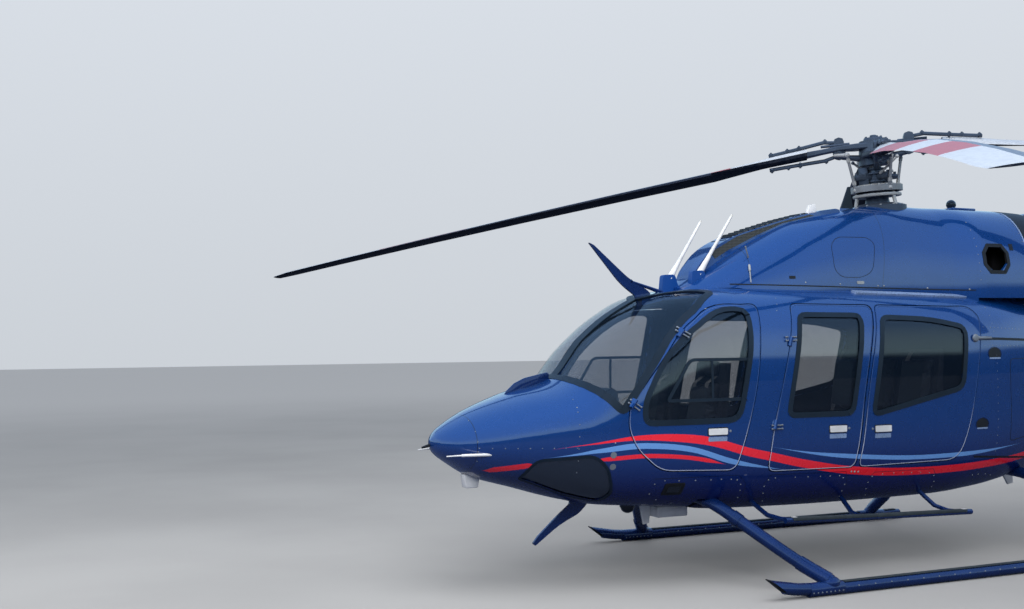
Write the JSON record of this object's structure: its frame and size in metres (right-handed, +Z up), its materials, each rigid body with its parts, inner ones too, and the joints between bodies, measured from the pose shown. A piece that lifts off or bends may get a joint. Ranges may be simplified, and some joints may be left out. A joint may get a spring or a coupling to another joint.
{
  "type": "light twin-engine helicopter on skids",
  "caption": "Light helicopter on skids with a hollow cabin, hinged doors, a free main rotor and a free stacked tail rotor.",
  "frame": {"origin": "on the ground under the middle of the whole machine, rotor blades and tail rotor included", "axes": "+X from nose to tail, +Y to starboard, +Z up"},
  "size_m": [11.9548, 9.0622, 3.765],
  "materials": {
    "body_paint": "deep metallic blue, clear coated",
    "gear_paint": "dark blue, semi-gloss",
    "tinted_glass": "dark tinted acrylic, clear",
    "black_trim": "matt black",
    "bare_metal": "machined, satin",
    "blade_paint": "white over a dark underside",
    "cabin_trim": "dark grey trim"
  },
  "bodies": {
    "root": {"nose_cone": "body_paint", "cabin_shell": "body_paint", "cabin_floor": "cabin_trim", "aft_fuselage": "body_paint", "windshield_port": "tinted_glass", "windshield_starboard": "tinted_glass", "chin_window_port": "tinted_glass", "chin_window_starboard": "tinted_glass", "sliding_door_port": "body_paint", "sliding_door_starboard": "body_paint", "sliding_door_window_port": "tinted_glass", "sliding_door_window_starboard": "tinted_glass", "forward_cowl": "body_paint", "inlet_cowl": "body_paint", "intake_screen": "black_trim", "exhaust_cowl": "body_paint", "exhaust_port": "bare_metal", "exhaust_starboard": "bare_metal", "engine_block": "bare_metal", "roof_antenna_fore": "body_paint", "roof_antenna_aft": "body_paint", "tail_boom": "body_paint", "vertical_fin": "body_paint", "stabiliser_port": "body_paint", "stabiliser_starboard": "body_paint", "swashplate_base": "bare_metal", "tail_gearbox": "bare_metal", "cross_tube_front": "gear_paint", "cross_tube_rear": "gear_paint", "skid_port": "gear_paint", "skid_starboard": "gear_paint", "step_port": "gear_paint", "step_starboard": "gear_paint", "wire_cutter_upper": "gear_paint", "wire_cutter_lower": "gear_paint", "crew_seat_port": "cabin_trim", "crew_seat_starboard": "cabin_trim", "rear_seats": "cabin_trim", "instrument_panel": "black_trim"},
    "main_rotor": {"rotor_mast": "bare_metal", "rotor_hub": "black_trim", "rotor_blade_1": "blade_paint", "rotor_blade_2": "blade_paint", "rotor_blade_3": "blade_paint", "rotor_blade_4": "blade_paint"},
    "tail_rotor": {"tail_rotor_shaft": "bare_metal", "tail_blades_inner": "blade_paint", "tail_blades_outer": "blade_paint"},
    "port_crew_door": {"crew_door_port": "body_paint", "crew_door_window_port": "tinted_glass"},
    "starboard_crew_door": {"crew_door_starboard": "body_paint", "crew_door_window_starboard": "tinted_glass"},
    "port_cabin_door": {"cabin_door_port": "body_paint", "cabin_door_window_port": "tinted_glass"},
    "starboard_cabin_door": {"cabin_door_starboard": "body_paint", "cabin_door_window_starboard": "tinted_glass"}
  },
  "joints": [
    {"name": "main_rotor_spin", "type": "hinge", "parent": "root", "child": "main_rotor", "pos_m": [-1.4992, 0, 3.3761], "axis": [-0.0637, 0, 0.998], "continuous": true},
    {"name": "tail_rotor_spin", "type": "hinge", "parent": "root", "child": "tail_rotor", "pos_m": [5.1508, -0.31, 2.1251], "axis": [0, 1, 0], "continuous": true},
    {"name": "port_crew_door_hinge", "type": "hinge", "parent": "root", "child": "port_crew_door", "pos_m": [-4.2962, -0.723, 1.3161], "axis": [-0.6367, -0.0341, -0.7703], "range_deg": [0, 75]},
    {"name": "starboard_crew_door_hinge", "type": "hinge", "parent": "root", "child": "starboard_crew_door", "pos_m": [-4.2962, 0.723, 1.3161], "axis": [0.6367, -0.0341, 0.7703], "range_deg": [0, 75]},
    {"name": "port_cabin_door_hinge", "type": "hinge", "parent": "root", "child": "port_cabin_door", "pos_m": [-3.1422, -0.793, 1.1311], "axis": [-0.2589, -0.0299, -0.9654], "range_deg": [0, 80]},
    {"name": "starboard_cabin_door_hinge", "type": "hinge", "parent": "root", "child": "starboard_cabin_door", "pos_m": [-3.1422, 0.793, 1.1311], "axis": [0.2589, -0.0299, 0.9654], "range_deg": [0, 80]}
  ]
}
